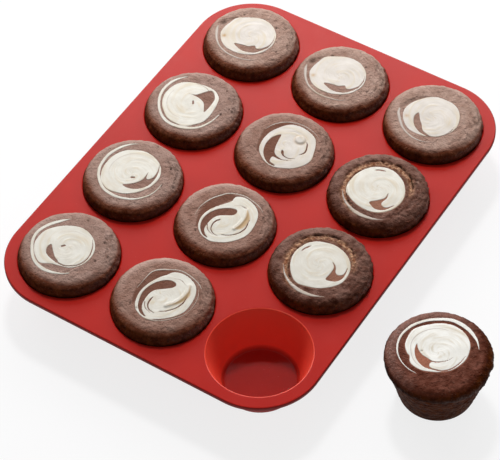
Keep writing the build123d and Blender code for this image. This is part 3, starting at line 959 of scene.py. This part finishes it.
class CakeSurface:
    """The points of one cake, with what both its shape and its painted shares follow from."""

    def __init__(self, name, muffin, seed, points):
        self.loose = name == "loose"
        self.top = top_of(name)
        self.muffin = muffin
        self.seed = seed
        self.x, self.y, self.z = x, y, z = points.T.copy()
        self.r = np.hypot(x, y)
        self.angle = np.arctan2(y, x)
        self.upper = ease(z, self.top - 8, self.top - 0.5) * (1 - ease(self.r, 33, 36))
        self.cap = ease(z, self.top - 9, self.top - 5)
        self.lumps = mottle(x, y, z, 9, seed + 9)
        self.smooth = muffin.smoothed(x, y) * self.upper
        self.crease = self.edge = 0 * x
        if muffin.creases:
            self.crease, self.edge = [self.cap * share for share in wrinkles(x, y, seed)]

    def crumb(self):
        """Height of the crumb, rougher at the front of the cap."""
        rough, size = PLAIN_CRUMB if self.muffin.crater is None else TORN_CRUMB
        rough = rough * (1 + 1.2 * facing(self.angle, -75, 65) * ease(self.r, 22, 29))
        return rough * mottle(self.x, self.y, self.z, size, self.seed + 5, 2)

    def shaped(self):
        """The points where they belong: the cap spread, the side and the top in relief."""
        x, y, z, r, cap = self.x, self.y, self.z, self.r, self.cap
        crumb = self.crumb()
        rise = self.muffin.spread / EVEN_SPREAD - 1 + np.minimum(0.012 * self.lumps, 0)
        side = (1 - self.upper) * ease(z, 2.5, 6)
        outward = side * (crumb - 0.15 + 0.1 * self.lumps) - self.crease * 0.5
        scale = 1 + cap * rise * ease(r, 20, 34) + outward / np.maximum(r, 1)
        pressed = np.maximum(0.8 * self.smooth, self.muffin.ribboned(x, y))
        height = top_relief(self.muffin, x, y, self.seed) + crumb * (0.85 - 0.85 * pressed)
        height = self.upper * (height - self.crease * 0.9 + self.edge * 0.4)
        return np.column_stack([x * scale, y * scale, z + height])

    def moist(self):
        """Where the cake glistens: low at the front of a seated cap; on the loose one, at one side of
        its top and a little in the band below its cap. There it gets a gloss coat and a painted sheen
        of pale specks."""
        if not self.loose:
            low = ease(self.top - self.z, 2.5, 5) * ease(self.z, self.top - 9, self.top - 7)
            return 0.8 * low * facing(self.angle, -80, 45)
        side = 0.8 * ease(self.r, 25, 31) * facing(self.angle, 105, 60) * self.upper
        return side + 0.45 * self.under() * facing(self.angle, -110, 40)

    def under(self):
        """The shaded band below the cap of the loose muffin."""
        return bell(self.z - 36.9, 1.9) if self.loose else 0 * self.x

    def browned_and_shaded(self):
        """How brown and how shaded the crust is: darker down the shoulder, partly real browning and
        partly painted shade, and darker on one side, which is painted shade.
        """
        shaded_side = radians(250 if self.loose else 188)
        # darker down the shoulder: partly real browning, partly painted shade
        browned_and_shaded = 1 - ease(self.z, self.top - 6.6, self.top - 0.1) + 0.12 * self.lumps
        # painted shade on the side of each cap that faces away from the light
        browned_and_shaded += 0.5 * ease(self.r, 27, 33) * np.cos(self.angle - shaded_side)
        if self.loose:
            # and painted shade on the loose cap's right front side
            browned_and_shaded += 0.7 * ease(self.r, 27, 34) * facing(self.angle, -65, 60)
        return browned_and_shaded

    def paint_shares(self, mesh):
        """Stores the shares that the cake's finish is made with."""
        x, y, muffin = self.x, self.y, self.muffin
        band = crack = 0 * x
        if muffin.crater is not None:
            crater = Crater(muffin, x, y, self.seed)
            band = crater.band * self.upper
            crack = np.clip(crater.crack + 0.8 * crater.trench, 0, 0.9)
        pore = sum((bell(np.hypot(x - u, y - v), 0.75) for u, v in muffin.pores), 0 * x)
        # painted shade in pores, dips beside the cream, cracks, creases and the band under the loose
        # cap
        dark = self.upper * (pore * 0.95 + 0.6 * muffin.dip(x, y) + crack)
        dark = dark + 0.25 * self.crease + 0.75 * self.under()
        # painted highlight on the rear of the cap
        rear = ease(self.r, 24, 32) * np.clip(np.cos(self.angle - radians(45)), 0, 1)
        paint(mesh, "rim", muffin.rear_highlight * rear)
        paint(mesh, "moist", self.moist())
        paint(mesh, "browned_and_shaded", self.browned_and_shaded())
        paint(mesh, "streak", self.smooth * muffin.streak_tone * (1 - band))
        paint(mesh, "dark", dark)
        paint(mesh, "crater", band)


def make_cake(name, muffin, seed, material, bm):
    """One muffin's cake, shaped from the turned one that it is given."""
    def sculpt(mesh):
        surface = CakeSurface(name, muffin, seed, points_of(mesh))
        set_points(mesh, surface.shaped())
        surface.paint_shares(mesh)

    cake = make_piece(bm, "cake_" + name, material, sculpt, PLACES[name])
    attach(cake, "muffin_" + name)
    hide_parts(f"muffin_{name}_cake")


def make_cream(name, muffin, seed, material, bm):
    """A skin of cream that stands a little above the cake where cream shows, and dips under it
    elsewhere, closed below by a flat underside."""
    top = top_of(name)

    def sculpt(mesh):
        points = points_of(mesh)
        x, y, z = points.T.copy()
        r, angle = np.hypot(x, y), np.arctan2(y, x)
        share = muffin.cream(x, y)
        swirl = mottle(r * 0.55 + angle * 1.3, np.cos(angle), np.sin(angle), 1, seed + 2, 3)
        lift = ease(share, 0.05, 0.5) * 0.95 - 0.72
        height = top + top_relief(muffin, x, y, seed) + lift + 0.07 * swirl * share
        warm = 0 * x
        if muffin.fold:
            crest, shaded = muffin.fold
            height += 0.8 * bell(distance_to(x, y, "line", crest), 1.0)
            # painted shade in the fold's hollow
            warm = 0.8 * ease(-distance_to(x, y, "area", shaded), -0.8, 0.8)
        if muffin.dollop:
            away = np.hypot(x - muffin.dollop[0], y - muffin.dollop[1])
            height += 1.0 * ease(4.6 - away, 0, 2.2)
            # painted shade round the dollop's foot
            warm = 0.3 * bell(away - 4.2, 1.0)
        if muffin.warm:
            u, v = muffin.warm
            warm = 1.2 * bell(np.hypot(x - u, y - v), 1.5) * (0.7 + 0.3 * swirl)
        points[:, 2] = np.where(z > -0.2, height, top + z)
        set_points(mesh, points)
        paint(mesh, "thick", ease(share, 0.15, 0.85))
        paint(mesh, "vein", swirl)
        paint(mesh, "warm", warm)

    cream = make_piece(bm, "cream_" + name, material, sculpt, PLACES[name])
    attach(cream, "muffin_" + name)
    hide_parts(f"muffin_{name}_swirl")


def cake_finishes():
    """The finish of each muffin's cake, by the muffin's name."""
    crust = (srgb(150, 121, 109), srgb(166, 138, 127))
    dark_crust = (srgb(90, 56, 45), srgb(132, 99, 88))
    pale_crust = (srgb(158, 128, 114), srgb(175, 147, 134))
    brown_crust = (srgb(142, 108, 95), srgb(157, 125, 112))
    loose_crust = (srgb(88, 46, 34), srgb(121, 75, 62))
    shoulder = (srgb(106, 56, 38), srgb(128, 78, 58))
    dark_shoulder = (srgb(70, 36, 26), srgb(96, 58, 46))
    loose_shoulder = (srgb(72, 32, 20), srgb(96, 50, 36))
    side = (srgb(62, 24, 10), srgb(98, 48, 22))
    loose_side = (srgb(54, 20, 6), srgb(86, 40, 10))
    plain = cake_finish("cake_crust", crust, shoulder, side, srgb(122, 86, 72))
    dark = cake_finish("cake_dark_crust", dark_crust, dark_shoulder, side, srgb(158, 112, 92))
    brown = cake_finish("cake_brown_crust", brown_crust, shoulder, side, srgb(108, 70, 56))
    pale = cake_finish("cake_pale_crust", pale_crust, shoulder, side, srgb(128, 92, 78))
    moist = cake_finish(
        "cake_moist_crust", loose_crust, loose_shoulder, loose_side, srgb(170, 112, 90)
    )
    return {
        "c1": plain, "c2": plain, "c3": plain, "c4": pale,
        "b1": brown, "b2": brown, "b3": brown, "b4": pale,
        "a2": dark, "a3": dark, "a4": pale, "loose": moist,
    }


def make_muffins():
    finishes = cake_finishes()
    cream = cream_finish("baked_cream", srgb(223, 219, 209), srgb(215, 209, 197))
    # the loose muffin's cream is a brighter copy, painted light; the far row's and b3's is a darker,
    # greyer copy, partly painted shade
    lit_white_cream = cream_finish("lit_loose_cream", srgb(250, 248, 242), srgb(243, 240, 232))
    shaded_far_cream = cream_finish("shaded_far_cream", srgb(215, 207, 199), srgb(207, 198, 188))
    creams = {"loose": lit_white_cream, **dict.fromkeys(("a4", "b4", "c4", "b3"), shaded_far_cream)}
    cakes = {kind: turned_shape(cake_profile(kind), CAKE_STEPS) for kind in SIZES}
    skin = divided([Vector((0, 0)), Vector((CREAM_REACH, 0))], CREAM_STEP)
    skin += [Vector((CREAM_REACH - 0.4, -CREAM_DEPTH)), Vector((0, -CREAM_DEPTH))]
    cream_skin = turned_shape(skin, CREAM_STEPS)
    for seed, (name, muffin) in enumerate(MUFFINS.items()):
        make_cake(name, muffin, seed, finishes[name], cakes[kind_of(name)].copy())
        make_cream(name, muffin, seed, creams.get(name, cream), cream_skin.copy())


# ---- camera, floor and light, in metres ----
CAMERA_PLACE = Vector((-0.78123, -0.53558, 1.16570))
CAMERA_AIM = Vector((-0.03178, -0.01614, 0.03300))
CAMERA_ROLL = radians(-2.76)
CAMERA_LENS = 153.0
FLOOR_HALF = 3.0
FLOOR_DROP = 0.0002  # keeps the floor just below the undersides that stand on it
FLOOR_GLOW = 0.8  # share of its own white in how the floor looks


def looking(place, aim):
    """The matrix of a camera or lamp in its place, turned to its aim."""
    place = Vector(place)
    turn = (Vector(aim) - place).to_track_quat("-Z", "Y").to_matrix().to_4x4()
    return Matrix.Translation(place) @ turn


def set_camera():
    data = bpy.data.cameras.new("camera")
    data.lens = CAMERA_LENS
    data.sensor_width = 36.0
    camera = add_to_scene("camera", data)
    camera.matrix_world = looking(CAMERA_PLACE, CAMERA_AIM) @ Matrix.Rotation(CAMERA_ROLL, 4, "Z")
    bpy.context.scene.camera = camera


def make_floor():
    """White floor that keeps the soft shadow, and looks white to the eye and in reflections."""
    bm = bmesh.new()
    bmesh.ops.create_grid(bm, x_segments=2, y_segments=2, size=FLOOR_HALF)
    bmesh.ops.translate(bm, verts=bm.verts, vec=(0, 0, -FLOOR_DROP))
    mesh = bpy.data.meshes.new("floor")
    bm.to_mesh(mesh)
    bm.free()
    material = bpy.data.materials.new("white_floor")
    material.use_nodes = True
    material.node_tree.nodes.clear()
    f = Nodes(material.node_tree)
    path = f.node("LightPath").outputs
    seen = f.math("MAXIMUM", path["Is Camera Ray"], path["Is Glossy Ray"])
    mix = f.node("MixShader", Fac=f.times(seen, FLOOR_GLOW))
    f.feed(mix.inputs[1], f.node("BsdfDiffuse", Color=(0.93, 0.92, 0.94, 1)).outputs[0])
    f.feed(mix.inputs[2], f.node("Emission", Color=(1, 1, 1, 1)).outputs[0])
    f.node("OutputMaterial", Surface=mix.outputs[0])
    mesh.materials.append(material)
    floor = add_to_scene("floor", mesh)


def add_softbox(name, place, size, power, mirrored=True):
    """A soft lamp that looks at the middle of the tin."""
    data = bpy.data.lights.new(name, "AREA")
    data.shape = "RECTANGLE"
    data.size, data.size_y = size
    data.energy = power
    lamp = add_to_scene(name, data)
    lamp.matrix_world = looking(place, (0, 0, 0))
    lamp.visible_glossy = mirrored


def set_light():
    """White surroundings, dimmer as light than they look, and four soft lamps."""
    scene = bpy.context.scene
    scene.world = bpy.data.worlds.new("studio")
    scene.world.use_nodes = True
    tree = Nodes(scene.world.node_tree)
    seen = tree.node("LightPath").outputs["Is Camera Ray"]
    strength = tree.ramp(seen, 0, 1, 0.2, 1.0)
    tree.fill(tree.tree.nodes["Background"], Color=(1, 1, 1, 1), Strength=strength)
    scene.view_settings.view_transform = "Standard"
    add_softbox("key_softbox", (1.23, 0.86, 2.17), (0.38, 0.38), 39.0, mirrored=False)
    add_softbox("back_panel", (0.66, 0.46, 0.54), (1.6, 0.4), 8.2)
    add_softbox("high_panel", (0.85, 0.6, 1.5), (2.4, 1.3), 2.8)
    add_softbox("front_card", (-0.50, -0.95, 1.1), (0.25, 0.25), 0.6)


set_camera()
make_floor()
set_light()
make_tin()
make_muffins()
